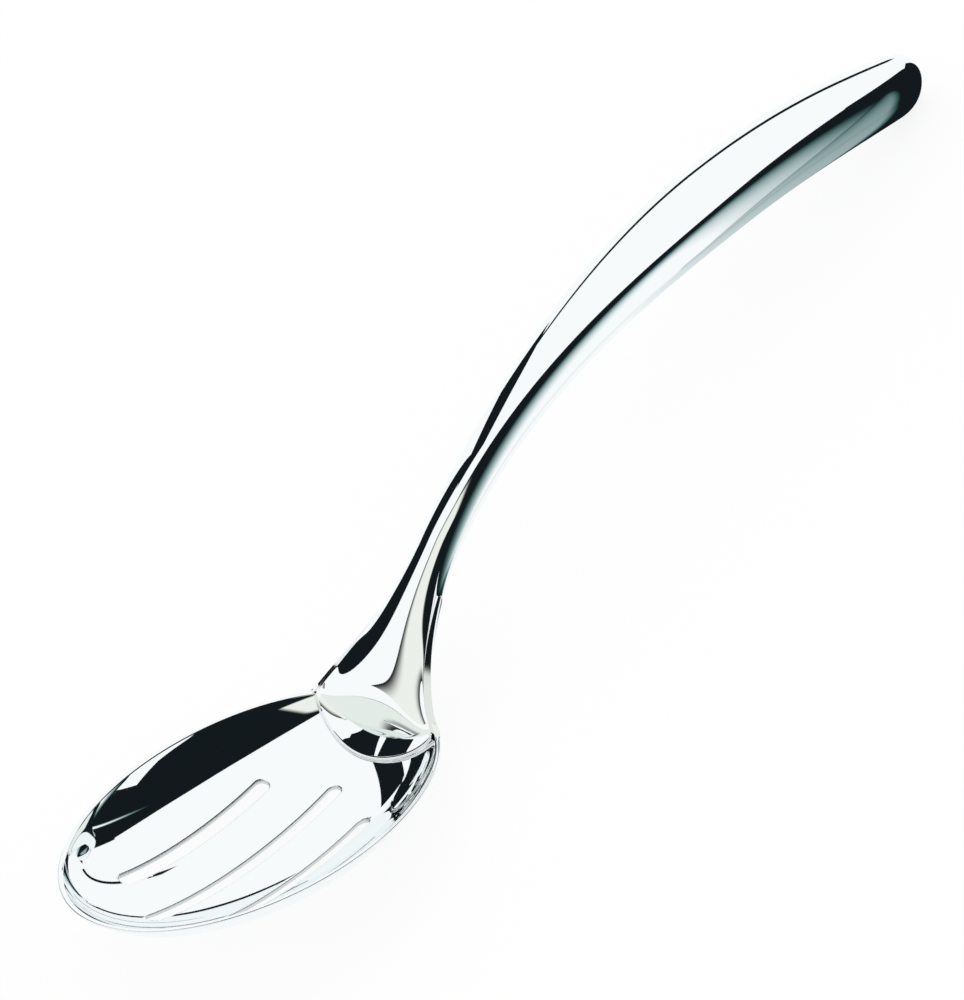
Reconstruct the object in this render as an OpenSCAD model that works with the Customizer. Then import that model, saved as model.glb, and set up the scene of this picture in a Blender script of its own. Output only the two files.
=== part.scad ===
// Slotted serving spoon: a pressed oval bowl with three slots and a hollow arched handle.
// The handle is two pressed shells, welded edge to edge. The upper shell flares into a tongue
// that lies inside the bowl, and the lower shell stands on the heel of the rim.
// The spoon is drawn with its rim level, then tilted to lie on its bowl and the handle's end.
// All sizes are in millimetres and all angles in degrees.

/* [Bowl] */
// Length of the bowl over its rim
bowl_len = 90; // [75:1:110]
// Width of the bowl over its rim
bowl_w = 60; // [48:1:76]
// Depth inside the bowl, below the rim
bowl_depth = 12.1; // [8:0.1:16]
// Thickness of the bowl's sheet
bowl_t = 1; // [0.8:0.1:1.6]
// Height of the bowl form's centre above the rim: a low centre gives steep walls
form_lift = 4; // [2:0.5:8]

/* [Slots] */
// Width of each slot
slot_w = 3; // [1.5:0.1:4]
// Length of the middle slot
slot_mid_len = 55; // [30:1:65]
// Length of the two side slots
slot_side_len = 42; // [20:1:48]
// Distance between neighbouring slots
slot_pitch = 13.2; // [8:0.5:16]
// Distance of the slots' middle from the bowl's middle, towards the bowl's tip
slot_shift = 3.6; // [0:0.5:10]

/* [Handle line] */
// How far past the heel of the bowl the neck's narrowest place lies
neck_reach = 17.3; // [12:0.1:26]
// Height of the neck's narrowest place above the rim
neck_rise = 26.1; // [20:0.1:36]
// Slope of the neck at its narrowest place
neck_angle = 41; // [30:0.5:52]
// How long the neck's slope carries on into the grip
neck_pull = 49; // [30:1:70]
// Distance from the neck to the end of the handle, along the bowl's length
grip_reach = 166; // [120:1:200]
// Rise from the neck to the end of the handle
grip_rise = 28.3; // [15:0.1:45]
// Slope of the handle at its end
tip_angle = -10.5; // [-15:0.5:5]
// How long the end's slope carries back into the grip
tip_pull = 60; // [30:1:80]

/* [Handle section] */
// Width of the neck at its narrowest place
neck_w = 8.4; // [6:0.1:14]
// Height of the neck above the parting line
neck_top = 4.1; // [2.5:0.1:6]
// Depth of the neck below the parting line
neck_belly = 3.8; // [2.5:0.1:6]
// Width of the grip at its widest place
grip_w = 20.8; // [14:0.1:30]
// Height of the grip above the parting line
grip_top = 7; // [4:0.1:10]
// Depth of the grip below the parting line
grip_belly = 6.9; // [4:0.1:10]
// Where along the handle the grip is widest
width_peak = 0.57; // [0.5:0.01:0.85]
// Where along the handle the grip stands highest above the parting line
top_peak = 0.85; // [0.3:0.01:0.9]
// Where along the handle the grip is deepest below the parting line
belly_peak = 0.85; // [0.5:0.01:0.96]
// Fullness of the section: 2 is an ellipse, more is squarer
section_full = 2; // [2:0.05:3]
// How full the grip's outline is from its widest place to the end: more is blunter
leaf_full = 2.8; // [2:0.1:5]
// Where along the handle the end starts to round off, seen from the side
nose_start = 0.93; // [0.9:0.005:0.98]
// How full the rounded end is, seen from the side: more is blunter
nose_full = 2.9; // [2:0.1:5]
// Thickness of the two handle shells
shell_t = 0.8; // [0.6:0.05:0.9]

/* [Tongue] */
// Length of the tongue inside the bowl, from the heel to the tongue's middle
tongue_lap = 12.6; // [11:0.1:17]
// Distance from the heel to where the tongue's sides leave the rim
tongue_side_lap = 8; // [5:0.1:10]
// Length of the flat lip at the tongue's middle
lip_len = 4.5; // [2:0.1:7]
// Length of the flat lip at the tongue's sides
side_lip = 0.3; // [0.2:0.05:1]
// Slope of the lip at the tongue's middle
lip_angle = 26; // [22:0.5:40]
// Slope of the flare's sides where they leave the rim
side_angle = 69; // [65:1:90]
// How fast the flare's sides draw in as they leave the rim
side_draw = 0.64; // [0.4:0.01:1.2]
// Slope of the lower shell where it leaves the heel
heel_angle = 55; // [40:1:75]
// How long the flare's slope carries on from the tongue's sides
side_pull = 27.5; // [12:0.1:32]
// How long the flare's slope carries on from the lip
lip_pull = 12; // [6:0.5:20]
// How long the neck's slope carries down into the flare
flare_pull = 37; // [25:1:55]

/* [Welds] */
// Width of the weld between the two shells
seam_gap = 0.5; // [0.2:0.05:0.8]
// Leg of the weld fillets at the tongue and at the heel
weld_leg = 0.8; // [0.4:0.05:1.2]
// How far the lower shell stands inside the rim's outer edge
rim_step = 0.3; // [0.1:0.05:0.5]
// Clearance between faces that are welded together
weld_fit = 0.02; // [0:0.01:0.1]

/* [Hidden] */

polished = [0.86, 0.88, 0.89];
welded = [0.8, 0.82, 0.83];

// Fineness of the curves
form_sides = 180;
slot_sides = 48;
lip_rings = 3;
flare_rings = 13;
grip_rings = 34;
half_sides = 14;
tilt_steps = 40;

// Steepest tilt that is tried when the spoon is laid on the table
tilt_limit = 45;

// The bowl's form: an outer and an inner ellipsoid about a centre above the rim
heel_x = bowl_len / 2;
outer_c = bowl_depth + bowl_t + form_lift;
outer_cut = sqrt(1 - pow(form_lift / outer_c, 2));
outer_form = [heel_x / outer_cut, bowl_w / 2 / outer_cut, outer_c];
inner_form = [outer_form.x - bowl_t, outer_form.y - bowl_t, outer_c - bowl_t];
inner_cut = sqrt(1 - pow(form_lift / inner_form.z, 2));
inner_rim = [inner_form.x * inner_cut, inner_form.y * inner_cut];

// The handle's line, from the neck to the end, as the four points of a cubic curve in X and Z
line_0 = [heel_x + neck_reach, neck_rise];
line_3 = line_0 + [grip_reach, grip_rise];
line_1 = line_0 + neck_pull * [cos(neck_angle), sin(neck_angle)];
line_2 = line_3 - tip_pull * [cos(tip_angle), sin(tip_angle)];
neck_dir = [cos(neck_angle), 0, sin(neck_angle)];
nose_setback = shell_t / (3 * tip_pull);

// Where the tongue and the lower shell leave the rim
side_x = heel_x - tongue_side_lap;
tongue_half = inner_rim.y * sqrt(1 - pow(side_x / inner_rim.x, 2));

function ease(f) = let (c = max(0, min(1, f))) c * c * (3 - 2 * c);
function signed_pow(v, e) = sign(v) * pow(abs(v), e);
function unit(v) = v / norm(v);

// Point and slope of the handle's line
function line_at(u) =
    pow(1 - u, 3) * line_0 + 3 * u * pow(1 - u, 2) * line_1
    + 3 * u * u * (1 - u) * line_2 + u * u * u * line_3;
function slope_at(u) = unit(
    pow(1 - u, 2) * (line_1 - line_0) + 2 * u * (1 - u) * (line_2 - line_1)
    + u * u * (line_3 - line_2));
function reach_at(u) = (line_at(u).x - line_0.x) / grip_reach;

// Half size of the section, which swells from the neck to its peak and rounds off to the end
function nose(f, start, full) =
    f <= start ? 1 : sqrt(max(0, 1 - pow((f - start) / (1 - start), full)));
function swell(f, neck, grip, peak) = neck + (grip - neck) * ease(f / peak);

// Across the section, from one parting line to the other
function across(turn) = signed_pow(cos(turn), 2 / section_full);
function over(turn) = pow(abs(sin(turn)), 2 / section_full);

// Point on the grip: side is 1 on the upper shell and -1 on the lower
function grip_point(u, turn, side, inset) =
    let (f = reach_at(u))
    let (v = u * (inset > 0 ? 1 - nose_setback : 1))
    let (c = line_at(v))
    let (d = slope_at(v))
    let (w = (swell(f, neck_w / 2, grip_w / 2, width_peak) - inset) * nose(f, width_peak, leaf_full))
    let (top = swell(f, neck_top, grip_top, top_peak))
    let (belly = swell(f, neck_belly, grip_belly, belly_peak))
    let (half_gap = seam_gap / 2)
    let (h = ((side > 0 ? top : belly) - inset - half_gap) * nose(f, nose_start, nose_full))
    let (r = side * (half_gap + h * over(turn)))
    [c.x - d.y * r, w * across(turn), c.y + d.x * r];

// Point on the bowl's inner face, lifted off it along the face's normal
function bowl_face(x, y, lift) =
    let (root = sqrt(max(0, 1 - pow(x / inner_form.x, 2) - pow(y / inner_form.y, 2))))
    let (n = [
        -x / pow(inner_form.x, 2),
        -y / pow(inner_form.y, 2),
        root / inner_form.z
    ])
    [x, y, form_lift - inner_form.z * root] + lift * unit(n);

// Edge of the tongue on the bowl's inner face, for a place across from -1 to 1
function tongue_edge(a, lift, ahead) = bowl_face(
    side_x - (tongue_lap - tongue_side_lap) * (1 - a * a) - ahead, tongue_half * a, lift);

// Edge of the lower shell on the rim, set in from the rim's outer edge
function heel_edge(a, step) =
    let (rim = [heel_x - step, bowl_w / 2 - step])
    let (half = rim.y * sqrt(1 - pow(side_x / rim.x, 2)))
    let (y = half * a)
    [rim.x * sqrt(1 - pow(y / rim.y, 2)), y, weld_fit];

// Direction in which the flare leaves the bowl
function leave_dir(a, middle_angle) =
    let (angle = middle_angle + (side_angle - middle_angle) * a * a)
    [cos(angle), -a * side_draw, sin(angle)];

// Cubic rail of the flare, from the bowl to the neck
function rail(t, from, from_pull, to) =
    (2 * t * t * t - 3 * t * t + 1) * from
    + (t * t * t - 2 * t * t + t) * from_pull
    + (3 * t * t - 2 * t * t * t) * to
    + (t * t * t - t * t) * flare_pull * neck_dir;

// Ring of points across the upper shell's lip and flare
function lip_ring(k, inset) = [
    for (j = [0 : half_sides])
        let (a = across(180 * j / half_sides))
        tongue_edge(a, weld_fit + shell_t - inset, 0)
        + k * (side_lip + (lip_len - side_lip) * (1 - a * a)) * leave_dir(a, lip_angle)
];
function upper_flare_ring(t, inset) =
    let (start = lip_ring(1, inset))
    [
        for (j = [0 : half_sides])
            let (turn = 180 * j / half_sides)
            let (a = across(turn))
            let (pull = lip_pull + (side_pull - lip_pull) * a * a)
            rail(t, start[j], pull * leave_dir(a, lip_angle), grip_point(0, turn, 1, inset))
    ];

// Ring of points across the lower shell's flare
function lower_flare_ring(t, inset) = [
    for (j = [0 : half_sides])
        let (turn = 180 * j / half_sides)
        let (a = across(turn))
        rail(t, heel_edge(a, rim_step + inset), side_pull * leave_dir(a, heel_angle),
            grip_point(0, turn, -1, inset))
];

// Rings along the grip crowd towards its rounded end
function grip_step(i) = sin(90 * i / grip_rings);
function grip_ring(u, side, inset) = [
    for (j = [0 : half_sides]) grip_point(u, 180 * j / half_sides, side, inset)
];
function grip_rings_of(side, inset) = [
    for (i = [0 : grip_rings - 1]) grip_ring(grip_step(i), side, inset)
];
function upper_rings(inset) = concat(
    [for (i = [0 : lip_rings - 1]) lip_ring(i / lip_rings, inset)],
    [for (i = [0 : flare_rings - 1]) upper_flare_ring(i / flare_rings, inset)],
    grip_rings_of(1, inset));
function lower_rings(inset) = concat(
    [for (i = [0 : flare_rings - 1]) lower_flare_ring(i / flare_rings, inset)],
    grip_rings_of(-1, inset));

// Two triangles over four corners, given in order
function quad(a, b, c, d) = [[a, b, c], [a, c, d]];
// The same, cut along the other diagonal where two pieces' edges have to match
function edge_quad(a, b, c, d, other) = other ? quad(b, c, d, a) : quad(a, b, c, d);
function flat(lists) = [for (l = lists) each l];

// Closed half shell from its outer and inner rings, which end in one point at the handle's end
module half_shell(outer, inner, outer_end, inner_end, side) {
    rings = len(outer);
    row = len(outer[0]);
    skin = rings * row;
    points = concat(flat(outer), [outer_end], flat(inner), [inner_end]);
    out_end = skin;
    in_0 = skin + 1;
    in_end = in_0 + skin;
    last = (rings - 1) * row;
    walls = [
        for (i = [0 : rings - 2])
            for (j = [0 : row - 2])
                let (k = i * row + j)
                each concat(
                    quad(k, k + 1, k + row + 1, k + row),
                    quad(in_0 + k, in_0 + k + row, in_0 + k + row + 1, in_0 + k + 1))
    ];
    nose_faces = [
        for (j = [0 : row - 2])
            let (k = last + j)
            each [[k, k + 1, out_end], [in_0 + k, in_end, in_0 + k + 1]]
    ];
    start_faces = [
        for (j = [0 : row - 2]) each quad(in_0 + j, in_0 + j + 1, j + 1, j)
    ];
    edges = [
        for (i = [0 : rings - 2])
            let (k = i * row)
            let (m = k + row - 1)
            each concat(
                edge_quad(k, k + row, in_0 + k + row, in_0 + k, side < 0),
                edge_quad(m, in_0 + m, in_0 + m + row, m + row, side > 0))
    ];
    m = last + row - 1;
    end_edges = concat(
        edge_quad(last, out_end, in_end, in_0 + last, side < 0),
        edge_quad(m, in_0 + m, in_end, out_end, side > 0));
    faces = concat(walls, nose_faces, start_faces, edges, end_edges);
    polyhedron(points, side < 0 ? faces : [for (f = faces) [f[2], f[1], f[0]]]);
}

// Closed bar from rings of equal corners, along an open path
module bar(rings) {
    n = len(rings);
    row = len(rings[0]);
    last = (n - 1) * row;
    sides = [
        for (i = [0 : n - 2])
            for (j = [0 : row - 1])
                let (k = i * row + j)
                let (next = i * row + (j + 1) % row)
                each quad(k, k + row, next + row, next)
    ];
    caps = [
        for (j = [1 : row - 2])
            each [[0, j, j + 1], [last, last + j + 1, last + j]]
    ];
    polyhedron(flat(rings), concat(sides, caps));
}

// Lowest places in the level frame, for a spoon tilted back by an angle
function bowl_low(tilt) =
    form_lift * cos(tilt)
    - sqrt(pow(outer_form.x * sin(tilt), 2) + pow(outer_form.z * cos(tilt), 2));
function grip_low(tilt) = min([
    for (i = [0 : grip_rings])
        let (p = grip_point(grip_step(i), 90, -1, 0))
        p.z * cos(tilt) - p.x * sin(tilt)
]);

// Tilt at which the bowl and the handle's end touch the table together
function find_tilt(low, high, steps) =
    let (mid = (low + high) / 2)
    steps == 0 ? mid
    : grip_low(mid) > bowl_low(mid) ? find_tilt(mid, high, steps - 1)
    : find_tilt(low, mid, steps - 1);
rest_tilt = find_tilt(0, tilt_limit, tilt_steps);
touch_x = pow(outer_form.x, 2) * sin(rest_tilt) / (form_lift * cos(rest_tilt) - bowl_low(rest_tilt));
touch_z = form_lift - pow(outer_form.z, 2) * cos(rest_tilt)
    / (form_lift * cos(rest_tilt) - bowl_low(rest_tilt));

// Lays the spoon on the table, with the bowl's point of contact at the origin
module at_rest() {
    rotate([0, rest_tilt, 0])
        translate([-touch_x, 0, -touch_z])
            children();
}

module bowl_form(form) {
    translate([0, 0, form_lift])
        scale([form.x / form.z, form.y / form.z, 1])
            sphere(r = form.z, $fn = form_sides);
}

module slot(length, y) {
    straight = length - slot_w;
    translate([-slot_shift, y, -outer_c])
        linear_extrude(height = outer_c)
            union() {
                square([straight, slot_w], center = true);
                for (end = [-1, 1])
                    translate([end * straight / 2, 0])
                        circle(d = slot_w, $fn = slot_sides);
            }
}

module bowl() {
    color(polished)
        at_rest()
            difference() {
                intersection() {
                    bowl_form(outer_form);
                    translate([-bowl_len, -bowl_w, -2 * outer_c])
                        cube([2 * bowl_len, 2 * bowl_w, 2 * outer_c]);
                }
                bowl_form(inner_form);
                slot(slot_mid_len, 0);
                for (side = [-1, 1])
                    slot(slot_side_len, side * slot_pitch);
            }
}

module handle_upper_shell() {
    color(polished)
        at_rest()
            half_shell(upper_rings(0), upper_rings(shell_t),
                grip_point(1, 90, 1, 0), grip_point(1, 90, 1, shell_t), 1);
}

module handle_lower_shell() {
    color(polished)
        at_rest()
            half_shell(lower_rings(0), lower_rings(shell_t),
                grip_point(1, 90, -1, 0), grip_point(1, 90, -1, shell_t), -1);
}

// Corners of the seam weld where the two shells' edges face each other
function seam_flare(t, turn) =
    let (j = turn == 0 ? 0 : half_sides)
    [
        upper_flare_ring(t, 0)[j],
        upper_flare_ring(t, shell_t)[j],
        lower_flare_ring(t, shell_t)[j],
        lower_flare_ring(t, 0)[j]
    ];
function seam_grip(u, turn) = [
    grip_point(u, turn, 1, 0),
    grip_point(u, turn, 1, shell_t),
    grip_point(u, turn, -1, shell_t),
    grip_point(u, turn, -1, 0)
];
function seam_side(turn) = concat(
    [for (i = [0 : flare_rings - 1]) seam_flare(i / flare_rings, turn)],
    [for (i = [0 : grip_rings - 1]) seam_grip(grip_step(i), turn)]);

module handle_seam_weld() {
    there = seam_side(0);
    back = seam_side(180);
    count = len(back);
    color(welded)
        at_rest()
            bar(concat(there, [seam_grip(1, 90)], [for (i = [1 : count]) back[count - i]]));
}

module tongue_weld() {
    foot = lip_ring(0, shell_t);
    top = lip_ring(0, 0);
    color(welded)
        at_rest()
            bar([
                for (j = [0 : half_sides])
                    let (a = across(180 * j / half_sides))
                    [foot[j], top[j], tongue_edge(a, weld_fit, weld_leg)]
            ]);
}

module heel_weld() {
    shell_foot = lower_flare_ring(0, 0);
    shell_next = lower_flare_ring(1 / flare_rings, 0);
    color(welded)
        at_rest()
            bar([
                for (j = [0 : half_sides])
                    let (a = across(180 * j / half_sides))
                    let (foot = heel_edge(a, rim_step - weld_fit))
                    let (up = weld_leg * unit(shell_next[j] - shell_foot[j]))
                    [foot, heel_edge(a, 0), foot + up]
            ]);
}

bowl();
handle_upper_shell();
handle_lower_shell();
handle_seam_weld();
tongue_weld();
heel_weld();
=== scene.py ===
import math

import bmesh
import bpy
from bpy.props import FloatProperty, FloatVectorProperty, IntProperty, PointerProperty
from mathutils import Matrix, Vector


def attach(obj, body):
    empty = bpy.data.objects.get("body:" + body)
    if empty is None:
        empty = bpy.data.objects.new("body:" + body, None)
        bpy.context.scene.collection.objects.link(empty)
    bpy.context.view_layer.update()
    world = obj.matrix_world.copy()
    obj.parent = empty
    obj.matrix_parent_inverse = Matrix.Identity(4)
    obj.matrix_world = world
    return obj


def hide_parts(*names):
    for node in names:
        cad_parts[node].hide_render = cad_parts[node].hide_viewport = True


bl_info = {
    "name": "Slotted serving spoon",
    "version": (1, 0, 0),
    "blender": (4, 5, 0),
    "location": "View3D > Sidebar > Spoon",
    "description": "Builds a mirror-polished slotted serving spoon on its solid frame, and its studio",
    "category": "Add Mesh",
}

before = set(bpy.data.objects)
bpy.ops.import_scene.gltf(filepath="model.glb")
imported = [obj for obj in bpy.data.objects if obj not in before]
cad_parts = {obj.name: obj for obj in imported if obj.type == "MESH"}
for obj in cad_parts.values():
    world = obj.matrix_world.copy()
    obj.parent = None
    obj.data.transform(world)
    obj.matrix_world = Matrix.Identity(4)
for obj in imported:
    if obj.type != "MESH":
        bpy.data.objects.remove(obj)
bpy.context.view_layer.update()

BODY = "root"
PICTURE_WIDTH = 964
SENSOR_MM = 36.0
VIEW_REACH = 20.0
SHARP_ANGLE = math.radians(40)
MERGE_GAP = 1e-6
CUT_MERGE_GAP = 2e-6
STEEPEST_REST = math.radians(45)
REST_HALVINGS = 40
BELLY_STEPS = 200
# Highest value of k * (1 - k) ** 2 for k from 0 to 1
CROWN_PEAK = 4 / 27


def length(name, default, description):
    """A length in metres."""
    return FloatProperty(name=name, description=description, default=default, unit="LENGTH", precision=5)


def angle(name, degrees, description):
    """An angle, written in degrees and kept in radians."""
    return FloatProperty(name=name, description=description, default=math.radians(degrees), subtype="ANGLE")


def share(name, default, description):
    """A plain number."""
    return FloatProperty(name=name, description=description, default=default, precision=4)


def colour(name, default, description):
    """A linear colour."""
    return FloatVectorProperty(name=name, description=description, default=default, subtype="COLOR", size=3)


class SpoonBowlSizes(bpy.types.PropertyGroup):
    """Sizes of the pressed bowl and its slots."""

    long: length("Length", 0.090, "Length of the bowl over its rim")
    wide: length("Width", 0.060, "Width of the bowl over its rim")
    deep: length("Depth", 0.0121, "Depth inside the bowl, below the rim")
    sheet: length("Sheet", 0.001, "Thickness of the bowl's sheet")
    lift: length("Form lift", 0.004, "Height of the bowl form's centre above the rim")
    rim_round: length("Rim rounding", 0.00038, "Radius on the rim's two edges")
    slot_wide: length("Slot width", 0.003, "Width of each slot")
    slot_middle: length("Middle slot", 0.055, "Length of the middle slot")
    slot_side: length("Side slots", 0.042, "Length of the two side slots")
    slot_pitch: length("Slot pitch", 0.0132, "Distance between neighbouring slots")
    slot_shift: length("Slot shift", 0.0036, "Shift of the slots towards the bowl's tip")
    slot_round: length("Slot rounding", 0.0003, "Radius on the slots' edges")


class SpoonHandleSizes(bpy.types.PropertyGroup):
    """Line and section of the hollow handle."""

    neck_reach: length("Neck reach", 0.0173, "How far past the heel the neck is narrowest")
    neck_rise: length("Neck rise", 0.0261, "Height of the narrowest place above the rim")
    neck_angle: angle("Neck slope", 41, "Slope of the neck at its narrowest place")
    neck_pull: length("Neck pull", 0.049, "How long the neck's slope carries on into the grip")
    grip_reach: length("Grip reach", 0.166, "Distance from the neck to the handle's end")
    grip_rise: length("Grip rise", 0.0283, "Rise from the neck to the handle's end")
    tip_angle: angle("End slope", -10.5, "Slope of the handle at its end")
    tip_pull: length("End pull", 0.060, "How long the end's slope carries back into the grip")
    neck_wide: length("Neck width", 0.0084, "Width of the neck")
    neck_top: length("Neck top", 0.0041, "Height of the neck above the parting line")
    neck_belly: length("Neck belly", 0.0038, "Depth of the neck below the parting line")
    grip_wide: length("Grip width", 0.0208, "Width of the grip at its widest")
    grip_top: length("Grip top", 0.007, "Height of the grip above the parting line")
    grip_belly: length("Grip belly", 0.0069, "Depth of the grip below the parting line")
    width_peak: share("Widest at", 0.57, "Where along the handle the grip is widest")
    top_peak: share("Highest at", 0.85, "Where along the handle the grip is highest")
    belly_peak: share("Deepest at", 0.85, "Where along the handle the grip is deepest")
    section_full: share("Section fullness", 2.0, "2 is an ellipse, more is squarer")
    leaf_full: share("Outline fullness", 2.8, "How blunt the outline is towards the end")
    nose_start: share("Nose start", 0.93, "Where along the handle the end rounds off")
    nose_full: share("Nose fullness", 2.9, "How blunt the rounded end is")
    shell: length("Shell", 0.0008, "Thickness of the two handle shells")


class SpoonTongueSizes(bpy.types.PropertyGroup):
    """Tongue and flare between the handle and the bowl, and the welds."""

    lap: length("Lap", 0.0126, "Length of the tongue inside the bowl")
    side_lap: length("Side lap", 0.008, "Distance from the heel to where the tongue's sides leave the rim")
    lip: length("Lip", 0.0045, "Length of the flat lip at the tongue's middle")
    side_lip: length("Side lip", 0.0003, "Length of the flat lip at the tongue's sides")
    lip_angle: angle("Lip slope", 26, "Slope of the lip at the tongue's middle")
    flare_angle: angle("Flare slope", 40, "Slope of the flare's middle where it rises from the lip")
    flare_crown: length("Flare crown", 0.005, "How far the flare's middle swells out at most")
    side_angle: angle("Side slope", 69, "Slope of the flare's sides where they leave the rim")
    side_draw: share("Side draw", 0.64, "How fast the flare's sides draw in")
    heel_angle: angle("Heel slope", 55, "Slope of the lower shell where it leaves the heel")
    side_pull: length("Side pull", 0.0275, "How long the slope carries on from the tongue's sides")
    lip_pull: length("Lip pull", 0.027, "How long the flare's slope carries on from the lip's middle")
    flare_pull: length("Flare pull", 0.037, "How long the neck's slope carries down into the flare")
    seam: length("Seam", 0.0005, "Width of the weld between the two shells")
    weld_leg: length("Weld leg", 0.0008, "Leg of the weld runs at the tongue and at the heel")
    rim_step: length("Rim step", 0.0003, "How far the lower shell stands inside the rim's edge")
    weld_fit: length("Weld fit", 0.00002, "Clearance between faces that are welded together")


class SpoonMeshSteps(bpy.types.PropertyGroup):
    """How finely each surface is divided."""

    bowl_turns: IntProperty(name="Bowl turns", description="Divisions round the bowl", default=288)
    bowl_rings: IntProperty(name="Bowl rings", description="Rings from the pole to the rim", default=84)
    lip_rings: IntProperty(name="Lip rings", description="Rings along the tongue's lip", default=8)
    flare_rings: IntProperty(name="Flare rings", description="Rings along the flare", default=60)
    grip_rings: IntProperty(name="Grip rings", description="Rings along the grip", default=170)
    across: IntProperty(name="Across", description="Divisions across a half shell", default=72)


class SpoonSteelLook(bpy.types.PropertyGroup):
    """Colours and finish of the polished steel."""

    polished: colour("Polished", (0.92, 0.955, 0.965), "Colour of the mirror-polished sheet")
    punched: colour("Punched", (0.72, 0.75, 0.76), "Colour of the slots' unpolished walls")
    punched_dull: share("Punched dullness", 0.35, "Roughness of the slots' punched walls")
    welded: colour("Welded", (0.84, 0.865, 0.88), "Colour of the polished weld filler")
    gloss: share("Gloss", 0.02, "Roughness of the mirror polish")
    gloss_spread: share("Gloss spread", 0.02, "How much the roughness varies over the sheet")
    gloss_finer: share("Gloss fineness", 12.0, "How much finer the polish varies than the waves")
    weld_coarse: share("Weld coarseness", 3.0, "How much coarser the welds are than the sheet")
    wave_pitch: length("Wave pitch", 0.02, "Distance between the slight waves left by pressing")
    wave_high: length("Wave height", 0.00003, "Height of those waves")


class SpoonStudio(bpy.types.PropertyGroup):
    """Camera, floor, and the cards that the steel mirrors."""

    view_turn: angle("View turn", -46.59, "Turn of the view round the bowl's rim")
    view_rise: angle("View rise", 30.13, "Height of the view over the bowl's rim")
    view_roll: angle("View roll", -7.64, "Roll of the camera")
    view_far: length("View distance", 1.0, "Distance from the camera to the bowl's middle, along the view")
    view_right: length("View right", 0.04455, "Shift of the camera to its right")
    view_up: length("View up", 0.05895, "Shift of the camera upwards")
    pixels_per_metre: share("Picture scale", 5180.0, "Picture elements per metre at the bowl's middle")
    floor_size: length("Floor", 6.0, "Width of the floor")
    floor: colour("Floor colour", (1.0, 1.0, 1.0), "Colour of the floor")
    floor_glow: share("Floor glow", 0.85, "How far the floor shows its plain colour instead of its shading")
    flag_turn: angle("Flag turn", 4.8, "Turn of the flag's edge from the spoon's length")
    flag_off: length("Flag offset", 0.27, "Distance of the flag's edge from the middle, towards the camera")
    flag_high: length("Flag height", 1.4, "Height of the dark flag over the camera's side")
    flag_long: length("Flag length", 8.8, "Length of the flag")
    flag_wide: length("Flag width", 5.0, "Width of the flag")
    end_far: length("End card distance", 2.86, "Distance of the dark card beyond the handle's end")
    end_off: length("End card offset", 0.13, "Offset of the end card's edge towards the camera")
    end_wide: length("End card width", 1.94, "Width of the end card")
    end_high: length("End card height", 0.98, "Height of the end card")
    fill_turn: angle("Fill turn", 19.1, "Turn of the pale fill card from the spoon's length")
    fill_near: length("Fill start", 0.034, "Where along its line the fill card starts")
    fill_far: length("Fill end", 1.0, "Where along its line the fill card ends")
    fill_low: share("Fill slope", 0.45, "Height for each length along the fill card below which it is full")
    fill_high: share("Fill top slope", 0.76, "Height for each length along the fill card where it ends")
    fill_lift: length("Fill lift", 0.012, "How far the fill card's slopes start under the floor")
    fill_full: length("Fill full", 0.169, "How far along the fill card is full")
    fill_fade: length("Fill fade", 0.110, "Length over which the fill card then fades")
    back_far: length("Back cards' distance", 3.0, "Distance of the dark cards behind the spoon")
    strip_wide: length("Strip width", 0.009, "Width of the dark strip along the handle's far side")
    panel_off: length("Panel distance", 1.0, "Distance of the pale panel")
    panel_fade: length("Panel fade", 0.11, "How far the panel brightens from its dark upper edge")
    panel_edge: length("Panel edge", 0.12, "How far the panel brightens from its other edges")
    panel: colour("Panel colour", (0.90, 0.91, 0.85), "Colour of the pale panel")
    shade_full: length("Shade start", 0.115, "Where along the spoon the shaded part of the floor starts")
    shade_fade: length("Shade fade", 0.08, "Length over which the floor then darkens")
    shade_turn: angle("Shade turn", 23, "Turn of the edge past which the shaded floor is dark")
    shade_soft: length("Shade edge", 0.006, "Softness of that edge")
    dark: colour("Dark", (0.007, 0.0103, 0.013), "Colour of the dark cards")
    cool: share("Cool shade", 1.3, "How fast red fades in the half-dark parts of the fading cards")


def ease(f):
    """Smooth rise from 0 to 1."""
    c = max(0.0, min(1.0, f))
    return c * c * (3 - 2 * c)


def crowded(f):
    """Place along the grip: even steps of f crowd towards its rounded end."""
    return math.sin(math.pi / 2 * min(1.0, f))


def direction(turn, rise):
    """Unit vector from a turn round Z and a rise over the floor."""
    return Vector((math.cos(turn) * math.cos(rise), math.sin(turn) * math.cos(rise), math.sin(rise)))


def signed_power(value, exponent):
    """Power that keeps the sign."""
    return math.copysign(abs(value) ** exponent, value)


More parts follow.
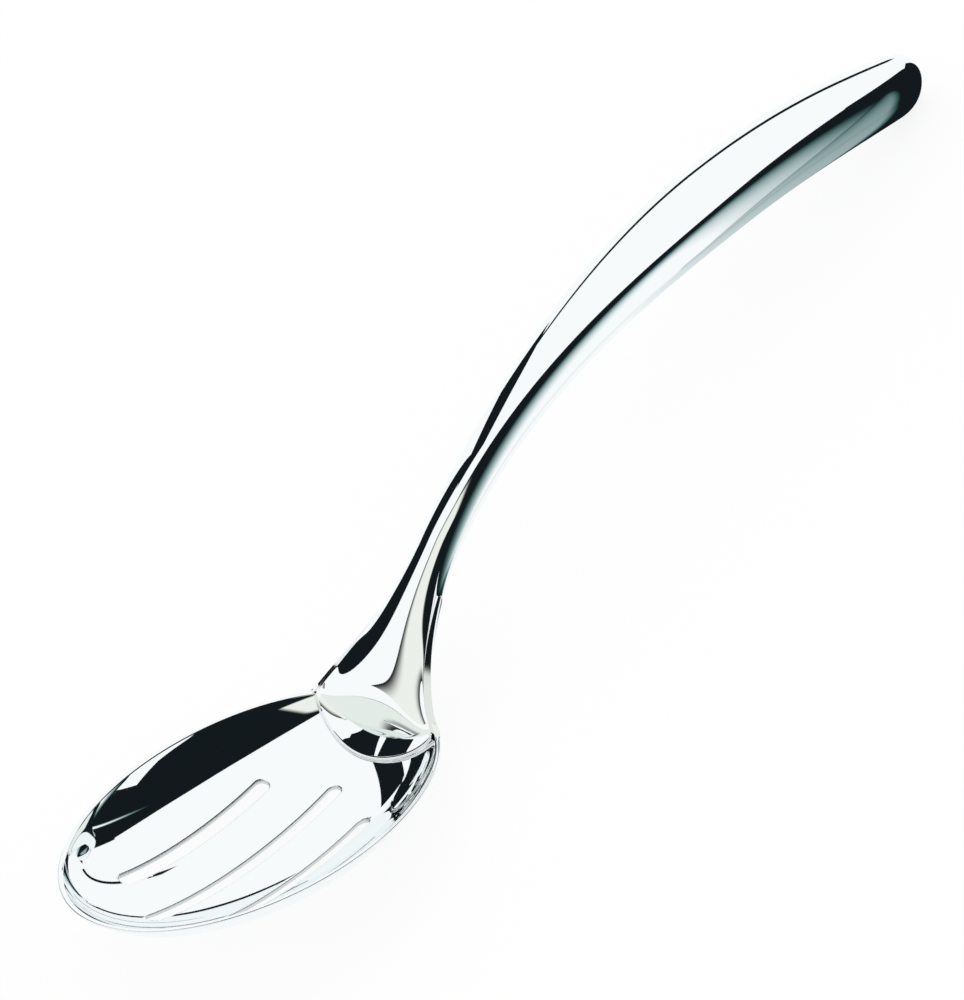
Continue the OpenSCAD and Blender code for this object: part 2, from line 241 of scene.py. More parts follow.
class SpoonForm:
    """Where each surface of the spoon lies, worked out from its sizes with the rim level."""

    def __init__(self, scene):
        self.bowl = bowl = scene.spoon_bowl
        self.handle = handle = scene.spoon_handle
        self.tongue = tongue = scene.spoon_tongue
        self.heel = bowl.long / 2
        outer_c = bowl.deep + bowl.sheet + bowl.lift
        cut = math.sqrt(1 - (bowl.lift / outer_c) ** 2)
        self.outer = Vector((self.heel / cut, bowl.wide / 2 / cut, outer_c))
        self.inner = self.outer - Vector((bowl.sheet,) * 3)
        inner_cut = math.sqrt(1 - (bowl.lift / self.inner.z) ** 2)
        self.inner_rim = self.inner * inner_cut
        start = Vector((self.heel + handle.neck_reach, 0, handle.neck_rise))
        end = start + Vector((handle.grip_reach, 0, handle.grip_rise))
        self.neck_dir = Vector((math.cos(handle.neck_angle), 0, math.sin(handle.neck_angle)))
        tip_dir = Vector((math.cos(handle.tip_angle), 0, math.sin(handle.tip_angle)))
        self.line = (start, start + handle.neck_pull * self.neck_dir, end - handle.tip_pull * tip_dir, end)
        self.side_x = self.heel - tongue.side_lap
        self.tongue_half = self.inner_rim.y * math.sqrt(1 - (self.side_x / self.inner_rim.x) ** 2)
        self.rest = self.find_rest()

    def line_at(self, u):
        """Point and slope of the handle's line."""
        a, b, c, d = self.line
        v = 1 - u
        point = v ** 3 * a + 3 * u * v * v * b + 3 * u * u * v * c + u ** 3 * d
        slope = v * v * (b - a) + 2 * u * v * (c - b) + u * u * (d - c)
        return point, slope.normalized()

    def across(self, turn):
        """Place across the section, from 1 to -1."""
        return signed_power(math.cos(turn), 2 / self.handle.section_full)

    def nose(self, f, start, full):
        """How far the handle's end is rounded off."""
        return 1.0 if f <= start else math.sqrt(max(0.0, 1 - ((f - start) / (1 - start)) ** full))

    def grip(self, u, turn, side):
        """Point on the grip: side is 1 on the upper shell and -1 on the lower."""
        h = self.handle
        centre, slope = self.line_at(u)
        f = (centre.x - self.line[0].x) / h.grip_reach
        wide = (h.neck_wide + (h.grip_wide - h.neck_wide) * ease(f / h.width_peak)) / 2
        wide *= self.nose(f, h.width_peak, h.leaf_full)
        if side > 0:
            high = h.neck_top + (h.grip_top - h.neck_top) * ease(f / h.top_peak)
        else:
            high = h.neck_belly + (h.grip_belly - h.neck_belly) * ease(f / h.belly_peak)
        half = self.tongue.seam / 2
        high = (high - half) * self.nose(f, h.nose_start, h.nose_full)
        r = side * (half + high * abs(math.sin(turn)) ** (2 / h.section_full))
        return centre + Vector((-slope.z * r, wide * self.across(turn), slope.x * r))

    def bowl_face(self, x, y, lift, form=None):
        """Point on a face of the bowl, lifted off it along the face's normal."""
        form = form or self.inner
        root = math.sqrt(max(0.0, 1 - (x / form.x) ** 2 - (y / form.y) ** 2))
        normal = Vector((-x / form.x ** 2, -y / form.y ** 2, root / form.z)).normalized()
        return Vector((x, y, self.bowl.lift - form.z * root)) + lift * normal

    def tongue_edge(self, a, lift, ahead):
        """Edge of the tongue on the bowl's inner face, for a place across from -1 to 1."""
        t = self.tongue
        x = self.side_x - (t.lap - t.side_lap) * (1 - a * a) - ahead
        return self.bowl_face(x, self.tongue_half * a, lift)

    def heel_edge(self, a, step):
        """Edge of the lower shell on the rim, set in from the rim's outer edge."""
        rim = Vector((self.heel - step, self.bowl.wide / 2 - step))
        y = rim.y * math.sqrt(1 - (self.side_x / rim.x) ** 2) * a
        return Vector((rim.x * math.sqrt(1 - (y / rim.y) ** 2), y, self.tongue.weld_fit))

    def leave_dir(self, a, middle):
        """Direction in which the flare leaves the bowl."""
        t = self.tongue
        slope = middle + (t.side_angle - middle) * a * a
        return Vector((math.cos(slope), -a * t.side_draw, math.sin(slope)))

    def rail(self, t, start, pull, end):
        """Cubic rail of the flare, from the bowl to the neck."""
        return (
            (2 * t ** 3 - 3 * t * t + 1) * start
            + (t ** 3 - 2 * t * t + t) * pull
            + (3 * t * t - 2 * t ** 3) * end
            + (t ** 3 - t * t) * self.tongue.flare_pull * self.neck_dir
        )

    def lip_point(self, k, turn):
        """Point on the tongue's lip."""
        t = self.tongue
        a = self.across(turn)
        reach = t.side_lip + (t.lip - t.side_lip) * (1 - a * a)
        foot = self.tongue_edge(a, t.weld_fit + self.handle.shell, 0)
        return foot + k * reach * self.leave_dir(a, t.lip_angle)

    def upper_flare(self, k, turn):
        """Point on the upper shell's flare: its rail, and the crown that swells out from it."""
        t = self.tongue
        a = self.across(turn)
        pull = (t.lip_pull + (t.side_pull - t.lip_pull) * a * a) * self.leave_dir(a, t.flare_angle)
        rail = self.rail(k, self.lip_point(1, turn), pull, self.grip(0, turn, 1))
        crown = t.flare_crown * k * (1 - k) ** 2 / CROWN_PEAK * (1 - a * a)
        return rail + crown * Vector((-math.sin(t.flare_angle), 0, math.cos(t.flare_angle)))

    def lower_flare(self, k, turn):
        """Point on the lower shell's flare."""
        t = self.tongue
        a = self.across(turn)
        pull = t.side_pull * self.leave_dir(a, t.heel_angle)
        return self.rail(k, self.heel_edge(a, t.rim_step), pull, self.grip(0, turn, -1))

    def lows(self, tilt):
        """Heights of the lowest places of the bowl and of the grip, tilted back by an angle."""
        c, s = math.cos(tilt), math.sin(tilt)
        bowl = self.bowl.lift * c - math.hypot(self.outer.x * s, self.outer.z * c)
        belly = [self.grip(crowded(i / BELLY_STEPS), math.pi / 2, -1) for i in range(BELLY_STEPS + 1)]
        return bowl, min(p.z * c - p.x * s for p in belly)

    def find_rest(self):
        """Matrix that lays the spoon on the table, with the bowl's point of contact at the origin."""
        low, high = 0.0, STEEPEST_REST
        for _ in range(REST_HALVINGS):
            tilt = (low + high) / 2
            bowl, grip = self.lows(tilt)
            low, high = (tilt, high) if grip > bowl else (low, tilt)
        arm = self.bowl.lift * math.cos(tilt) - bowl
        touch = Vector((
            self.outer.x ** 2 * math.sin(tilt) / arm,
            0,
            self.bowl.lift - self.outer.z ** 2 * math.cos(tilt) / arm,
        ))
        return Matrix.Rotation(tilt, 4, "Y") @ Matrix.Translation(-touch)


def grid_sheet(along, across, place):
    """Sheet of quads: a flat grid whose vertices move to place(0 to 1, 0 to 1)."""
    bm = bmesh.new()
    bmesh.ops.create_grid(bm, x_segments=along, y_segments=across, size=1)
    for v in bm.verts:
        v.co = place((v.co.x + 1) / 2, (v.co.y + 1) / 2)
    bmesh.ops.remove_doubles(bm, verts=bm.verts, dist=MERGE_GAP)
    return bm


def thicken(bm, wall):
    """Gives an outer skin its wall, inwards."""
    bmesh.ops.solidify(bm, geom=bm.faces[:], thickness=wall)


def finish_piece(context, bm, name, material, node):
    """Lays the piece on the table, makes its object and sets it in the frame."""
    bmesh.ops.transform(bm, matrix=SpoonForm(context.scene).rest, verts=bm.verts)
    mesh = bpy.data.meshes.new(name)
    bm.to_mesh(mesh)
    bm.free()
    mesh.shade_smooth()
    mesh.set_sharp_from_angle(angle=SHARP_ANGLE)
    mesh.materials.append(material)
    piece = bpy.data.objects.new(name, mesh)
    context.scene.collection.objects.link(piece)
    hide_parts(node)
    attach(piece, BODY)


class Shade:
    """An output of a shader node. Arithmetic on it adds Math nodes."""

    def __init__(self, tree, socket=None):
        self.tree = tree
        self.socket = socket

    def node(self, kind, settings, inputs, output=0):
        """Adds a node: its settings first, then the values or links of its sockets."""
        made = self.tree.nodes.new(kind)
        for name, value in settings.items():
            setattr(made, name, value)
        for name, value in inputs.items():
            if isinstance(value, Shade):
                self.tree.links.new(value.socket, made.inputs[name])
            else:
                made.inputs[name].default_value = value
        return Shade(self.tree, made.outputs[output] if made.outputs else None)

    def math(self, operation, a, b):
        """One Math node."""
        return self.node("ShaderNodeMath", {"operation": operation}, {0: a, 1: b})

    def away_from(self, point):
        """Place measured from a point."""
        return self.node("ShaderNodeVectorMath", {"operation": "SUBTRACT"}, {0: self, 1: point})

    def along(self, way):
        """Length of a place along a way."""
        return self.node("ShaderNodeVectorMath", {"operation": "DOT_PRODUCT"}, {0: self, 1: way}, "Value")

    def smooth(self, low, high, first, last):
        """Smooth step from first to last as the value goes from low to high."""
        return self.node("ShaderNodeMapRange", {"interpolation_type": "SMOOTHSTEP"}, {
            "Value": self, "From Min": low, "From Max": high, "To Min": first, "To Max": last})

    def decay(self, full, fade):
        """Tone that is full up to a length and then fades, by e for each fade."""
        tone = self.math("POWER", math.e, (full - self) * (1 / fade))
        return tone.math("MINIMUM", tone, 1.0)

    def __add__(self, other):
        return self.math("ADD", self, other)

    def __mul__(self, other):
        return self.math("MULTIPLY", self, other)

    def __sub__(self, other):
        return self.math("SUBTRACT", self, other)

    def __rsub__(self, other):
        return self.math("SUBTRACT", other, self)

    __radd__ = __add__
    __rmul__ = __mul__


def fresh_tree(owner):
    """Empty node tree of a material or of the world."""
    owner.use_nodes = True
    owner.node_tree.nodes.clear()
    return Shade(owner.node_tree)


def steel(name, tint, look, coarse):
    """Polished stainless steel: slight waves from pressing, and a polish that varies a little."""
    material = bpy.data.materials.get(name)
    if material:
        return material
    material = bpy.data.materials.new(name)
    tree = fresh_tree(material)
    place = tree.node("ShaderNodeTexCoord", {}, {}, "Object")
    polish = tree.node("ShaderNodeTexNoise", {}, {
        "Vector": place, "Scale": look.gloss_finer / look.wave_pitch, "Detail": 3.0})
    waves = tree.node("ShaderNodeTexNoise", {}, {
        "Vector": place, "Scale": 1 / look.wave_pitch, "Detail": 1.0})
    bump = tree.node("ShaderNodeBump", {}, {
        "Height": waves, "Strength": 1.0, "Distance": look.wave_high * coarse})
    cut = tree.node("ShaderNodeAttribute", {"attribute_name": "punched"}, {}, "Fac")
    colours = {0: cut, 6: (*tint, 1), 7: (*look.punched, 1)}
    surface = tree.node("ShaderNodeBsdfPrincipled", {}, {
        "Base Color": tree.node("ShaderNodeMix", {"data_type": "RGBA"}, colours, 2),
        "Metallic": 1.0,
        "Roughness": coarse * (look.gloss + look.gloss_spread * (polish - 0.5)) + look.punched_dull * cut,
        "Normal": bump,
    })
    tree.node("ShaderNodeOutputMaterial", {}, {"Surface": surface})
    return material


def polished_steel(scene):
    """Steel of the sheet pieces."""
    return steel("mirror_polish", scene.spoon_steel.polished, scene.spoon_steel, 1.0)


def welded_steel(scene):
    """Steel of the weld runs."""
    return steel("ground_weld", scene.spoon_steel.welded, scene.spoon_steel, scene.spoon_steel.weld_coarse)


class SPOON_OT_bowl(bpy.types.Operator):
    """Press the oval bowl, round its rim and cut its slots"""

    bl_idname = "spoon.bowl"
    bl_label = "Bowl"
    rim_steps = 5
    outline_steps = 320
    mouth_steps = 5
    mouth_start = math.radians(20)

    def execute(self, context):
        scene = context.scene
        form = self.form = SpoonForm(scene)
        steps = scene.spoon_steps

        def skin(along, across):
            """From the outer pole up to the rim, and down the inside to the inner pole."""
            turn = -2 * math.pi * across
            ring = round(along * (2 * steps.bowl_rings + 1))
            outside = ring <= steps.bowl_rings
            face = form.outer if outside else form.inner
            step = ring if outside else 2 * steps.bowl_rings + 1 - ring
            rise = math.acos(form.bowl.lift / face.z) * step / steps.bowl_rings
            return Vector((
                face.x * math.sin(rise) * math.cos(turn),
                face.y * math.sin(rise) * math.sin(turn),
                form.bowl.lift - face.z * math.cos(rise),
            ))

        bm = grid_sheet(2 * steps.bowl_rings + 1, steps.bowl_turns, skin)
        rim = [e for e in bm.edges if e.calc_face_angle(0) > SHARP_ANGLE]
        bmesh.ops.bevel(
            bm, geom=rim, offset=form.bowl.rim_round, affect="EDGES", segments=self.rim_steps, profile=0.5,
            material=-1)
        self.cut_slots(context, bm)
        finish_piece(context, bm, "pressed_bowl", polished_steel(scene), "bowl")
        return {"FINISHED"}

    def cut_slots(self, context, bm):
        """Cuts the three slots."""
        plugs = bmesh.new()
        for slot_long, y in self.slots():
            self.plug(plugs, slot_long, y)
        bmesh.ops.recalc_face_normals(plugs, faces=plugs.faces)
        cutter = temporary(context, plugs, "slot_plugs")
        blank = temporary(context, bm, "bowl_blank", keep=True)
        cut = blank.modifiers.new("slots", "BOOLEAN")
        cut.operation = "DIFFERENCE"
        cut.solver = "MANIFOLD"
        cut.object = cutter
        pressed = bpy.data.meshes.new_from_object(blank.evaluated_get(context.evaluated_depsgraph_get()))
        bm.clear()
        bm.from_mesh(pressed)
        bmesh.ops.remove_doubles(bm, verts=bm.verts, dist=CUT_MERGE_GAP)
        self.mark_walls(bm)
        for spent in (cutter, blank):
            mesh = spent.data
            bpy.data.objects.remove(spent)
            bpy.data.meshes.remove(mesh)
        bpy.data.meshes.remove(pressed)

    def slots(self):
        """Length and place across of each slot."""
        bowl = self.form.bowl
        return (
            (bowl.slot_middle, 0), (bowl.slot_side, bowl.slot_pitch), (bowl.slot_side, -bowl.slot_pitch)
        )

    def mark_walls(self, bm):
        """Marks the faces of the slots' walls for the material."""
        bowl = self.form.bowl
        punched = bm.faces.layers.float.new("punched")
        for face in bm.faces:
            middle = face.calc_center_median()
            for slot_long, y in self.slots():
                past = max(0.0, abs(middle.x + bowl.slot_shift) - (slot_long - bowl.slot_wide) / 2)
                if math.hypot(past, middle.y - y) < (bowl.slot_wide + bowl.slot_round) / 2:
                    face[punched] = 1.0

    def plug(self, bm, slot_long, y):
        """Plug that cuts one slot, with flared mouths that round the slot's edges."""
        form, bowl = self.form, self.form.bowl
        half = bowl.slot_wide / 2
        straight = slot_long - bowl.slot_wide
        profile = self.plug_profile()

        def outline(along):
            """Place on the slot's middle line, and the way out from it."""
            s = (along * 2 * (straight + math.pi * half)) % (2 * (straight + math.pi * half))
            sign = 1
            if s >= straight + math.pi * half:
                s -= straight + math.pi * half
                sign = -1
            turn = min(math.pi, max(0.0, (s - straight) / half))
            core = Vector((sign * (min(s, straight) - straight / 2), 0, 0))
            return core, sign * Vector((math.sin(turn), -math.cos(turn), 0))

        def place(along, across):
            core, way = outline(along)
            skin, out, down = profile[round(across * (len(profile) - 1))]
            p = core + (half + out) * way + Vector((-bowl.slot_shift, y, 0))
            if skin is None:
                return Vector((p.x, p.y, -down))
            return form.bowl_face(p.x, p.y, 0, skin) - Vector((0, 0, down))

        wall = grid_sheet(self.outline_steps, len(profile) - 1, place)
        bmesh.ops.holes_fill(wall, edges=[e for e in wall.edges if e.is_boundary])
        mesh = bpy.data.meshes.new("plug")
        wall.to_mesh(mesh)
        wall.free()
        bm.from_mesh(mesh)
        bpy.data.meshes.remove(mesh)

    def plug_profile(self):
        """Rings of a plug from its flat top: the face they follow, how far out and how far down they lie."""
        form, r = self.form, self.form.bowl.slot_round
        start = self.mouth_start
        arc = [start + (math.pi / 2 - start) * i / self.mouth_steps for i in range(self.mouth_steps + 1)]
        mouth = [(r - r * math.sin(t), r - r * math.cos(t)) for t in arc]
        first = mouth[0]
        reach = (first[1] + r) / math.sin(start)
        mouth.insert(0, (first[0] + reach * math.cos(start), -r))
        upper = [(form.inner, out, down) for out, down in mouth]
        lower = [(form.outer, out, -down) for out, down in reversed(mouth)]
        return [(None, mouth[0][0], 0.0), *upper, *lower, (None, mouth[0][0], 2 * form.outer.z)]


def temporary(context, bm, name, keep=False):
    """Object for a step of the making."""
    mesh = bpy.data.meshes.new(name)
    bm.to_mesh(mesh)
    if not keep:
        bm.free()
    made = bpy.data.objects.new(name, mesh)
    context.scene.collection.objects.link(made)
    return made


class SPOON_OT_handle_shells(bpy.types.Operator):
    """Press the two half shells of the hollow handle"""

    bl_idname = "spoon.handle_shells"
    bl_label = "Handle shells"

    def execute(self, context):
        scene = context.scene
        form = SpoonForm(scene)
        steps = scene.spoon_steps

        def upper(along, across):
            turn = math.pi * (1 - across)
            ring = along * (steps.lip_rings + steps.flare_rings + steps.grip_rings)
            if ring < steps.lip_rings:
                return form.lip_point(ring / steps.lip_rings, turn)
            ring -= steps.lip_rings
            if ring < steps.flare_rings:
                return form.upper_flare(ring / steps.flare_rings, turn)
            return form.grip(crowded((ring - steps.flare_rings) / steps.grip_rings), turn, 1)

        def lower(along, across):
            turn = math.pi * across
            ring = along * (steps.flare_rings + steps.grip_rings)
            if ring < steps.flare_rings:
                return form.lower_flare(ring / steps.flare_rings, turn)
            return form.grip(crowded((ring - steps.flare_rings) / steps.grip_rings), turn, -1)

        rings = steps.flare_rings + steps.grip_rings
        for name, node, count, place in (
            ("pressed_upper_shell", "handle_upper_shell", steps.lip_rings + rings, upper),
            ("pressed_lower_shell", "handle_lower_shell", rings, lower),
        ):
            bm = grid_sheet(count, steps.across, place)
            thicken(bm, form.handle.shell)
            finish_piece(context, bm, name, polished_steel(scene), node)
        return {"FINISHED"}


class SPOON_OT_welds(bpy.types.Operator):
    """Run the weld between the shells, round the tongue and round the heel"""

    bl_idname = "spoon.welds"
    bl_label = "Welds"
    bead_steps = 8
    bead_wall = 0.25

    def execute(self, context):
        scene = context.scene
        form = SpoonForm(scene)
        steps = scene.spoon_steps
        tongue = form.tongue
        rings = steps.flare_rings + steps.grip_rings

        def seam(along, across):
            there = along <= 0.5
            turn = 0.0 if there else math.pi
            ring = rings * 2 * (along if there else 1 - along)
            if ring < steps.flare_rings:
                k = ring / steps.flare_rings
                top, low = form.upper_flare(k, turn), form.lower_flare(k, turn)
            else:
                u = crowded((ring - steps.flare_rings) / steps.grip_rings)
                top, low = form.grip(u, turn, 1), form.grip(u, turn, -1)
            return top.lerp(low, across)

        def tongue_run(along, across):
            a = form.across(math.pi * (1 - along))
            bend = math.pi / 2 * across
            foot = form.tongue_edge(a, tongue.weld_fit, 0)
            up = form.tongue_edge(a, tongue.weld_fit + form.handle.shell, 0) - foot
            ahead = form.tongue_edge(a, tongue.weld_fit, tongue.weld_leg) - foot
            return foot + math.cos(bend) * up + math.sin(bend) * ahead

        def heel_run(along, across):
            turn = math.pi * along
            a = form.across(turn)
            bend = math.pi / 2 * across
            foot = form.heel_edge(a, tongue.rim_step - tongue.weld_fit)
            rise = form.lower_flare(1 / steps.flare_rings, turn) - form.lower_flare(0, turn)
            ahead = form.heel_edge(a, 0) - foot
            return foot + math.cos(bend) * tongue.weld_leg * rise.normalized() + math.sin(bend) * ahead

        beads, part = self.bead_steps, self.bead_wall
        for name, node, along, across, wall, place in (
            ("seam_weld_run", "handle_seam_weld", rings * 2, 1, form.handle.shell, seam),
            ("tongue_weld_run", "tongue_weld", steps.across, beads, part * tongue.weld_leg, tongue_run),
            ("heel_weld_run", "heel_weld", steps.across, beads, part * tongue.rim_step, heel_run),
        ):
            bm = grid_sheet(along, across, place)
            thicken(bm, wall)
            finish_piece(context, bm, name, welded_steel(scene), node)
        return {"FINISHED"}


# Corners of cards as directions in degrees, turn then rise, and the place at the neck they are seen from
BACK_BAR = ((62.5, 8), (69.5, 10), (104, 70), (72, 76))
BACK_STRIP = ((84, 3), (122, 10), (99, 66), (80, 68))
PANEL = ((141, 17), (175, 14), (-97, 46), (-96, 72.5))
SEEN_FROM = (0.065, 0, 0.035)
# Dark strip on the handle's far side: its place beyond the handle's end and beside the neck, and its arch
STRIP_START = Vector((0.2745, 0.033, 0.02))
STRIP_END = Vector((0.105, 0.075, 0.077))
STRIP_ARCH = 1.3
STRIP_STEPS = 24
# Where the fill card's line starts beside the bowl, and a point on the edge of the shaded floor
FILL_START = Vector((-0.009, 0.009, 0))
SHADE_CORNER = Vector((0.19, -0.008, 0))
SHADE_HIGH = 0.0003


class SPOON_OT_studio(bpy.types.Operator):
    """Set the camera, the floor, the cards and the soft light"""

    bl_idname = "spoon.studio"
    bl_label = "Studio"
    seen_by = ("Is Camera Ray", "Is Glossy Ray", "Is Transmission Ray")

    def execute(self, context):
        scene = context.scene
        studio = scene.spoon_studio
        scene.view_settings.view_transform = "Standard"
        self.camera(scene, studio)
        self.floor(scene, studio)
        self.dark_cards(scene, studio)
        self.fill_card(scene, studio)
        self.shade_card(scene, studio)
        self.panel(scene, studio)
        self.light(scene)
        return {"FINISHED"}

    def camera(self, scene, studio):
        """Camera at the photograph's angle, placed from the bowl's rim."""
        turn, rise, roll = studio.view_turn, studio.view_rise, studio.view_roll
        back = Vector((math.sin(turn) * math.cos(rise), -math.cos(turn) * math.cos(rise), math.sin(rise)))
        right = (-back).cross(Vector((0, 0, 1))).normalized()
        up = right.cross(-back)
        right, up = (
            math.cos(roll) * right + math.sin(roll) * up,
            math.cos(roll) * up - math.sin(roll) * right,
        )
        place = studio.view_far * back + studio.view_right * right + studio.view_up * up
        matrix = Matrix((right, up, back)).transposed().to_4x4()
        matrix.translation = place
        data = bpy.data.cameras.new("camera")
        data.sensor_fit = "HORIZONTAL"
        data.sensor_width = SENSOR_MM
        data.lens = SENSOR_MM * studio.pixels_per_metre * studio.view_far / PICTURE_WIDTH
        data.clip_end = VIEW_REACH
        camera = bpy.data.objects.new("camera", data)
        camera.matrix_world = SpoonForm(scene).rest @ matrix
        scene.collection.objects.link(camera)
        scene.camera = camera

    def between(self, corners):
        """Flat sheet between four corners in order."""
        a, b, c, d = (Vector(corner) for corner in corners)
        return grid_sheet(1, 1, lambda u, v: a.lerp(b, u).lerp(d.lerp(c, u), v))

    def sheet(self, scene, name, bm, material):
        """Object of a sheet that belongs to the studio."""
        mesh = bpy.data.meshes.new(name)
        bm.to_mesh(mesh)
        bm.free()
        mesh.materials.append(material)
        sheet = bpy.data.objects.new(name, mesh)
        scene.collection.objects.link(sheet)
        return sheet

    def floor(self, scene, studio):
        """Pale floor under the spoon, with a faint shadow."""
        material = bpy.data.materials.new("floor")
        tree = fresh_tree(material)
        tint = (*studio.floor, 1)
        matte = tree.node("ShaderNodeBsdfPrincipled", {}, {
            "Base Color": tint, "Roughness": 0.8, "Specular IOR Level": 0.0})
        plain = tree.node("ShaderNodeEmission", {}, {"Color": tint, "Strength": 1.0})
        seen = sum(tree.node("ShaderNodeLightPath", {}, {}, ray) for ray in self.seen_by)
        surface = tree.node("ShaderNodeMixShader", {}, {0: studio.floor_glow * seen, 1: matte, 2: plain})
        tree.node("ShaderNodeOutputMaterial", {}, {"Surface": surface})
        half = studio.floor_size / 2
        corners = ((-half, -half, 0), (half, -half, 0), (half, half, 0), (-half, half, 0))
        self.sheet(scene, "floor", self.between(corners), material)

    def card(self, scene, name, bm, tone):
        """Card that only the steel mirrors: tone gives its brightness from its place."""
        material = bpy.data.materials.new(name)
        tree = fresh_tree(material)
        glow = tree.node("ShaderNodeEmission", {}, {"Color": tone(tree), "Strength": 1.0})
        tree.node("ShaderNodeOutputMaterial", {}, {"Surface": glow})
        card = self.sheet(scene, name, bm, material)
        card.visible_camera = False
        card.visible_diffuse = False
        card.visible_transmission = False
        card.visible_volume_scatter = False
        card.visible_shadow = False

    def shaded(self, studio, tone):
        """Colour of a fading card: cool where it is half dark, and never darker than the dark cards."""
        tones = (tone.math("POWER", tone, studio.cool), tone, tone)
        channels = [part.math("MAXIMUM", part, least) for part, least in zip(tones, studio.dark)]
        return tone.node("ShaderNodeCombineColor", {}, dict(enumerate(channels)))

    def aimed(self, places, far):
        """Corners of a flat card that fills the given directions as seen from the neck."""
        ways = [direction(math.radians(turn), math.radians(rise)) for turn, rise in places]
        middle = sum(ways, Vector()).normalized()
        return [Vector(SEEN_FROM) + far / way.dot(middle) * way for way in ways]

    def dark_cards(self, scene, studio):
        """Dark flag over the camera's side, and dark cards past the handle's end, behind and beside it."""
        up = Vector((0, 0, 1))

        def dark_card(name, bm):
            self.card(scene, name, bm, lambda tree: (*studio.dark, 1))

        def rectangle(name, start, along, across):
            dark_card(name, self.between((start, start + along, start + along + across, start + across)))

        def strip(u, v):
            go = STRIP_END - STRIP_START
            go = Vector((go.x * u, go.y * (1 - (1 - u) ** 2), go.z * u ** STRIP_ARCH))
            return STRIP_START + go + (v - 0.5) * studio.strip_wide * up

        along = direction(-studio.flag_turn, 0)
        out = Vector((-math.sin(studio.flag_turn), -math.cos(studio.flag_turn), 0))
        start = studio.flag_off * out + studio.flag_high * up - studio.flag_long / 2 * along
        rectangle("overhead_flag", start, studio.flag_long * along, studio.flag_wide * out)
        start = studio.end_far * along + studio.end_off * out
        rectangle("end_card", start, studio.end_wide * out, studio.end_high * up)
        dark_card("back_bar", self.between(self.aimed(BACK_BAR, studio.back_far)))
        dark_card("back_strip", self.between(self.aimed(BACK_STRIP, studio.back_far)))
        dark_card("far_side_strip", grid_sheet(STRIP_STEPS, 1, strip))

    def shade_card(self, scene, studio):
        """Shaded floor as the handle mirrors it: darker towards the handle's end, and dark beyond it."""
        edge = Vector((math.sin(studio.shade_turn), math.cos(studio.shade_turn), 0))

        def tone(tree):
            place = tree.node("ShaderNodeTexCoord", {}, {}, "Object")
            far = tree.node("ShaderNodeSeparateXYZ", {}, {0: place}, "X")
            middle, soft = edge.dot(SHADE_CORNER), studio.shade_soft / 2
            light = place.along(edge).smooth(middle - soft, middle + soft, 1.0, 0.0)
            return self.shaded(studio, light * far.decay(studio.shade_full, studio.shade_fade))

        near, far, wide, high = studio.shade_full, studio.end_far, studio.end_wide, SHADE_HIGH
        corners = ((near, -wide, high), (far, -wide, high), (far, 0, high), (near, 0, high))
        self.card(scene, "floor_shade", self.between(corners), tone)

    def panel(self, scene, studio):
        """Pale panel between the bowl's tip and the camera, with soft edges."""
        corners = self.aimed(PANEL, studio.panel_off)
        inside = sum(corners, Vector()) / len(corners)
        edges = ((0, 3, studio.panel_fade), (2, 3, studio.panel_edge), (1, 2, studio.panel_edge / 2))

        def tone(tree):
            place = tree.node("ShaderNodeTexCoord", {}, {}, "Object")
            light = 1.0
            for start, end, fade in edges:
                along = (corners[end] - corners[start]).normalized()
                inwards = inside - corners[start]
                inwards = (inwards - inwards.dot(along) * along).normalized() / fade
                light = light * place.away_from(corners[start]).along(inwards).smooth(0.0, 1.0, 0.0, 1.0)
            return tree.node("ShaderNodeMix", {"data_type": "RGBA"}, {
                0: light, 6: (*studio.dark, 1), 7: (*studio.panel, 1)}, 2)

        self.card(scene, "camera_panel", self.between(corners), tone)

    def fill_card(self, scene, studio):
        """Pale card beside the handle, which fades along its length and towards its top."""
        way = direction(-studio.fill_turn, 0)

        def tone(tree):
            place = tree.node("ShaderNodeTexCoord", {}, {}, "Object")
            far = place.away_from(FILL_START).along(way)
            high = tree.node("ShaderNodeSeparateXYZ", {}, {0: place}, "Z")
            slope = high.math("DIVIDE", high + studio.fill_lift, far)
            top = slope.smooth(studio.fill_low, studio.fill_high, 1.0, 0.0)
            return self.shaded(studio, top * far.decay(studio.fill_full, studio.fill_fade))

        def side(far):
            """Foot and top of one of the card's ends."""
            foot = FILL_START + far * way
            return foot, foot + Vector((0, 0, far * studio.fill_high - studio.fill_lift))

        (near_foot, near_top), (far_foot, far_top) = side(studio.fill_near), side(studio.fill_far)
        corners = (near_foot, far_foot, far_top, near_top)
        self.card(scene, "fill_card", self.between(corners), tone)

    def light(self, scene):
        """Even white surroundings."""
        world = bpy.data.worlds.new("studio")
        scene.world = world
        tree = fresh_tree(world)
        sky = tree.node("ShaderNodeBackground", {}, {"Color": (1, 1, 1, 1), "Strength": 1.0})
        tree.node("ShaderNodeOutputWorld", {}, {"Surface": sky})


class SPOON_PT_panel(bpy.types.Panel):
    """Lists the steps that build the spoon"""

    bl_idname = "SPOON_PT_panel"
    bl_label = "Slotted serving spoon"
    bl_space_type = "VIEW_3D"
    bl_region_type = "UI"
    bl_category = "Spoon"

    def draw(self, context):
        for step in STEPS:
            self.layout.operator(step.bl_idname)


GROUPS = {
    "spoon_bowl": SpoonBowlSizes,
    "spoon_handle": SpoonHandleSizes,
    "spoon_tongue": SpoonTongueSizes,
    "spoon_steps": SpoonMeshSteps,
    "spoon_steel": SpoonSteelLook,
    "spoon_studio": SpoonStudio,
}
STEPS = (SPOON_OT_bowl, SPOON_OT_handle_shells, SPOON_OT_welds, SPOON_OT_studio)


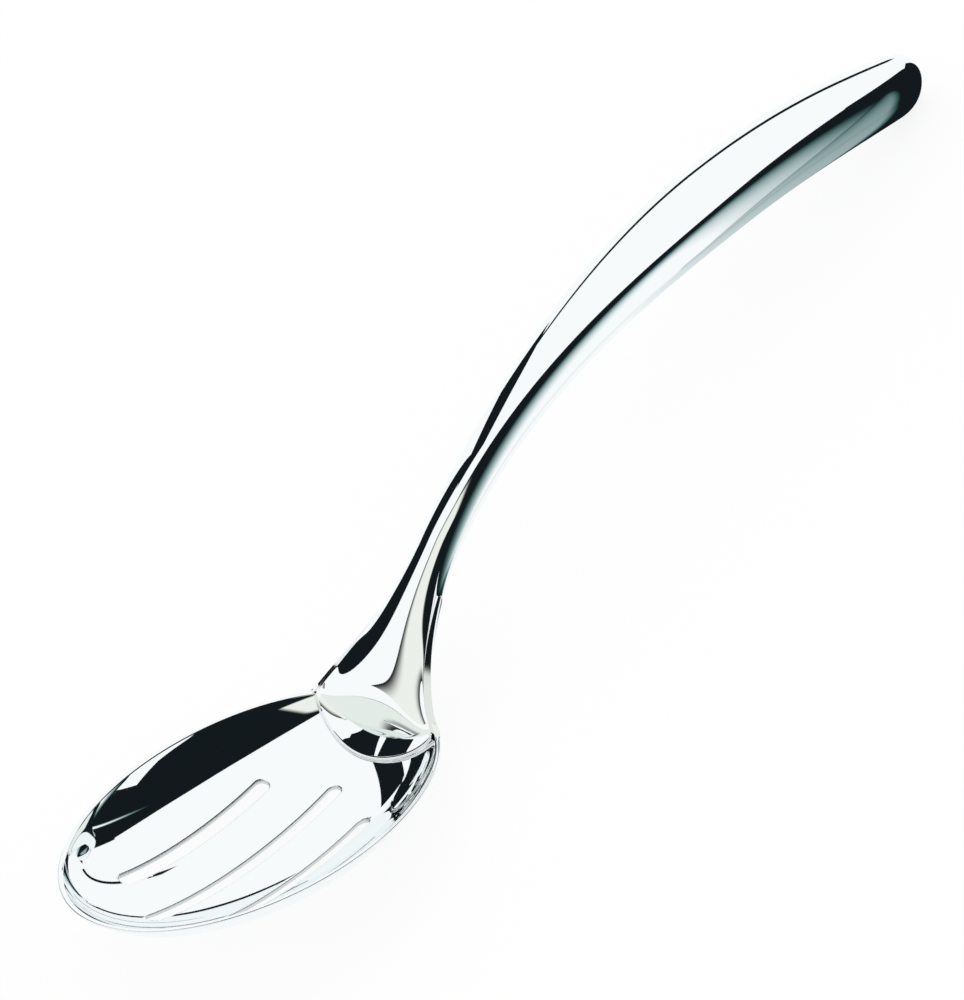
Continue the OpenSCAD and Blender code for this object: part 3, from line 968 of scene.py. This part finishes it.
def register():
    for name, group in GROUPS.items():
        bpy.utils.register_class(group)
        setattr(bpy.types.Scene, name, PointerProperty(type=group))
    for cls in (*STEPS, SPOON_PT_panel):
        bpy.utils.register_class(cls)


def unregister():
    for cls in reversed((*STEPS, SPOON_PT_panel)):
        bpy.utils.unregister_class(cls)
    for name, group in reversed(GROUPS.items()):
        delattr(bpy.types.Scene, name)
        bpy.utils.unregister_class(group)


def main():
    """Builds the spoon and its studio."""
    register()
    bpy.ops.spoon.bowl()
    bpy.ops.spoon.handle_shells()
    bpy.ops.spoon.welds()
    bpy.ops.spoon.studio()


if __name__ == "__main__":
    main()
